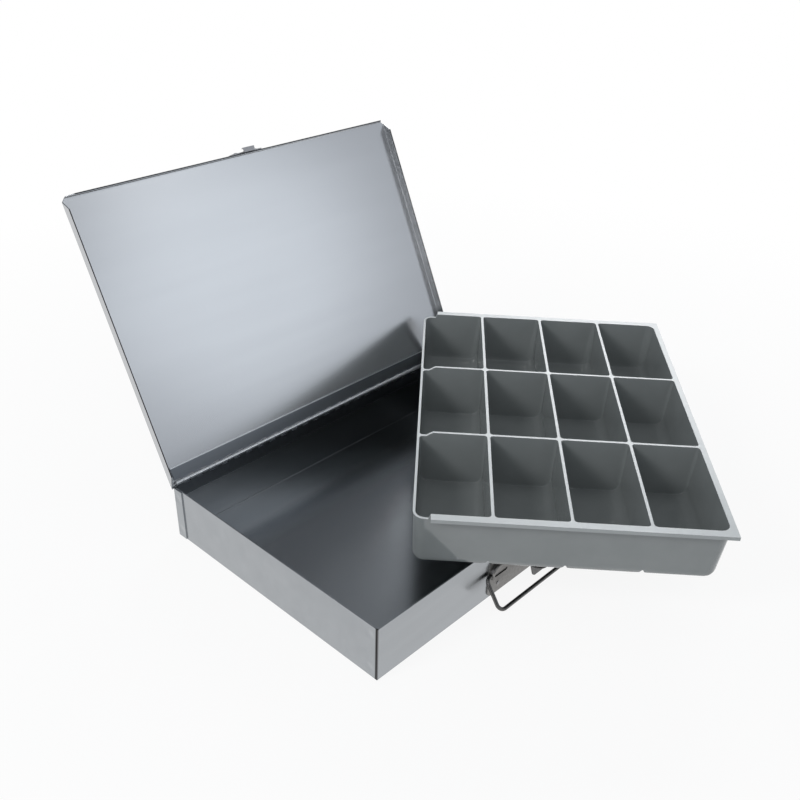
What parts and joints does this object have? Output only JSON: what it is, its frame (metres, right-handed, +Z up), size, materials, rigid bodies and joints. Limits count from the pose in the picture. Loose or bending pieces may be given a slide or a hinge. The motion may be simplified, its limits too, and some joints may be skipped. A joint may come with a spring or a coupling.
{
  "type": "compartment organizer box",
  "caption": "Flat folded-steel storage box with a piano-hinged lid, draw latch, wire carry handle and a lift-out moulded tray divided into a grid of pockets.",
  "frame": {"origin": "middle of the pan's underside", "axes": "+X along the hinge to the right seen from the latch, +Y from the latch to the hinge, +Z up"},
  "size_m": [0.4615, 0.4801, 0.2685],
  "materials": {
    "steel_enamel": "smooth glossy grey enamel on sheet steel",
    "zinc": "bright zinc-plated steel",
    "dark_wire": "black oxide steel wire with a slight sheen",
    "tray_plastic": "satin moulded styrene"
  },
  "bodies": {
    "box": {"box_pan": "steel_enamel", "hinge_leaf_box": "steel_enamel", "hinge_pin": "zinc", "latch_plate": "steel_enamel", "plate_rivet_low_left": "zinc", "plate_rivet_low_right": "zinc", "plate_rivet_high_left": "zinc", "plate_rivet_high_right": "zinc", "lever_pin": "zinc"},
    "lid": {"lid": "steel_enamel", "hinge_leaf_lid": "steel_enamel", "strike": "zinc", "strike_rivet_left": "zinc", "strike_rivet_right": "zinc"},
    "handle": {"bail_handle": "dark_wire"},
    "lever": {"latch_lever": "zinc", "loop_pin": "dark_wire"},
    "loop": {"latch_loop": "dark_wire"},
    "tray": {"tray": "tray_plastic"}
  },
  "joints": [
    {"name": "lid_swing", "type": "hinge", "parent": "box", "child": "lid", "pos_m": [0, 0.1158, 0.0505], "axis": [1, 0, 0], "range_deg": [0, 115.6]},
    {"name": "tray_lift", "type": "slide", "parent": "box", "child": "tray", "axis": [0.6518, -0.7438, 0.1484], "range_m": [0, 0.24]},
    {"name": "handle_swing", "type": "hinge", "parent": "box", "child": "handle", "pos_m": [0.001, -0.118, 0.0245], "axis": [-1, 0, 0], "range_deg": [0, 106]},
    {"name": "lever_swing", "type": "hinge", "parent": "box", "child": "lever", "pos_m": [0.001, -0.1207, 0.0281], "axis": [-1, 0, 0], "range_deg": [-18, 72]},
    {"name": "loop_swing", "type": "hinge", "parent": "lever", "child": "loop", "pos_m": [0.001, -0.12143, 0.02392], "axis": [-1, 0, 0], "range_deg": [-76, 16]}
  ],
  "couplings": [
    {"joint": "tray_lift", "follows": "lid_swing", "m_per_rad": 0.11895}
  ]
}
